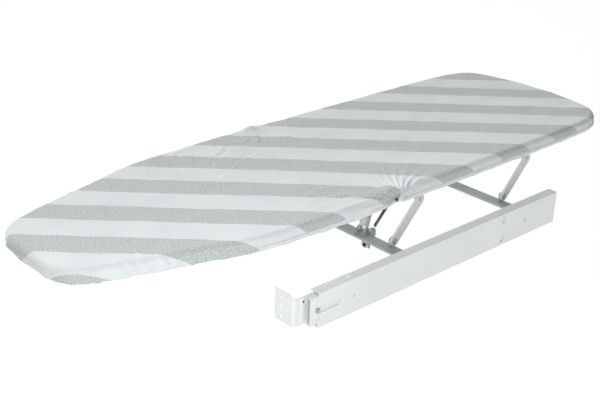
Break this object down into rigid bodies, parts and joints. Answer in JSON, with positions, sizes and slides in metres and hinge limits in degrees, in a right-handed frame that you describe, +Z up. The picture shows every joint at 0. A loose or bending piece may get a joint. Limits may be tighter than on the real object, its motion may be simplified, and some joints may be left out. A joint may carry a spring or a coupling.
{
  "type": "built-in ironing board",
  "caption": "Folding padded ironing board on lifting arms and drawer slides, made to fit inside a cabinet drawer opening.",
  "frame": {"origin": "midway between the two cabinet profiles, at their front ends and undersides", "axes": "+X right, +Y towards the back of the cabinet, +Z up; the board's nose points to -Y"},
  "size_m": [0.3646, 0.9494, 0.1267],
  "materials": {
    "white_paint": "satin white powder coat",
    "grey_paint": "satin grey powder coat",
    "zinc": "zinc plated",
    "black_plastic": "matt black",
    "spring_steel": "black oxide",
    "felt_pad": "matt felt",
    "cotton_cover": "woven cotton with broad diagonal stripes"
  },
  "bodies": {
    "cabinet_profiles": {"right_cabinet_profile": "white_paint", "left_cabinet_profile": "white_paint", "right_rear_buffer": "black_plastic", "left_rear_buffer": "black_plastic"},
    "ball_cages": {"right_upper_ball_cage": "zinc", "right_lower_ball_cage": "zinc", "left_upper_ball_cage": "zinc", "left_lower_ball_cage": "zinc"},
    "carriage": {"right_slide_rail": "white_paint", "left_slide_rail": "white_paint", "right_front_bracket": "white_paint", "left_front_bracket": "white_paint", "right_bracket_screw": "zinc", "left_bracket_screw": "zinc", "right_catch_stud": "zinc", "left_catch_stud": "zinc", "front_cross_member": "grey_paint", "rear_cross_member": "grey_paint", "right_front_pivot_ear": "grey_paint", "left_front_pivot_ear": "grey_paint", "right_rear_pivot_ear": "grey_paint", "left_rear_pivot_ear": "grey_paint", "right_front_pivot_pin": "zinc", "left_front_pivot_pin": "zinc", "right_rear_pivot_pin": "zinc", "left_rear_pivot_pin": "zinc", "spring_lug": "grey_paint", "spring_pin": "zinc", "prop_foot": "grey_paint", "prop_pin": "zinc", "buffer_stud": "zinc", "buffer_plug": "black_plastic"},
    "front_arms": {"right_front_arm": "white_paint", "left_front_arm": "white_paint", "spring_rod": "zinc", "coil_spring": "spring_steel"},
    "rear_arms": {"right_rear_arm": "white_paint", "left_rear_arm": "white_paint"},
    "prop": {"support_prop": "white_paint"},
    "board_rear": {"rear_core": "white_paint", "rear_pad": "felt_pad", "rear_cover": "cotton_cover", "right_front_board_bracket": "white_paint", "left_front_board_bracket": "white_paint", "right_rear_board_bracket": "white_paint", "left_rear_board_bracket": "white_paint", "front_pivot_rod": "zinc", "rear_pivot_rod": "zinc", "right_rear_hinge_leaf": "zinc", "left_rear_hinge_leaf": "zinc", "right_hinge_pin": "black_plastic", "left_hinge_pin": "black_plastic"},
    "board_front": {"front_core": "white_paint", "front_pad": "felt_pad", "front_cover": "cotton_cover", "right_front_hinge_leaf": "zinc", "left_front_hinge_leaf": "zinc"}
  },
  "joints": [
    {"name": "carriage_slide", "type": "slide", "parent": "cabinet_profiles", "child": "carriage", "axis": [0, -1, 0], "range_m": [-0.033, 0.3]},
    {"name": "cage_slide", "type": "slide", "parent": "cabinet_profiles", "child": "ball_cages", "axis": [0, -1, 0], "range_m": [-0.0165, 0.15]},
    {"name": "lift_arms", "type": "hinge", "parent": "carriage", "child": "front_arms", "pos_m": [0, 0.167, 0.0515], "axis": [1, 0, 0], "range_deg": [0, 126]},
    {"name": "rear_arm_hinge", "type": "hinge", "parent": "carriage", "child": "rear_arms", "pos_m": [0, 0.398, 0.0515], "axis": [1, 0, 0], "range_deg": [0, 126]},
    {"name": "board_level", "type": "hinge", "parent": "front_arms", "child": "board_rear", "pos_m": [0, 0.21252, 0.09929], "axis": [1, 0, 0], "range_deg": [-126, 0]},
    {"name": "prop_hinge", "type": "hinge", "parent": "carriage", "child": "prop", "pos_m": [0, 0.163, 0.0505], "axis": [1, 0, 0], "range_deg": [-70, 0]},
    {"name": "board_fold", "type": "hinge", "parent": "board_rear", "child": "board_front", "pos_m": [0, 0.16, 0.1246], "axis": [-1, 0, 0], "range_deg": [0, 180]}
  ],
  "couplings": [
    {"joint": "cage_slide", "follows": "carriage_slide", "ratio": 0.5},
    {"joint": "lift_arms", "follows": "board_level", "ratio": -1},
    {"joint": "rear_arm_hinge", "follows": "board_level", "ratio": -1},
    {"joint": "prop_hinge", "follows": "board_level", "ratio": 0.55}
  ]
}
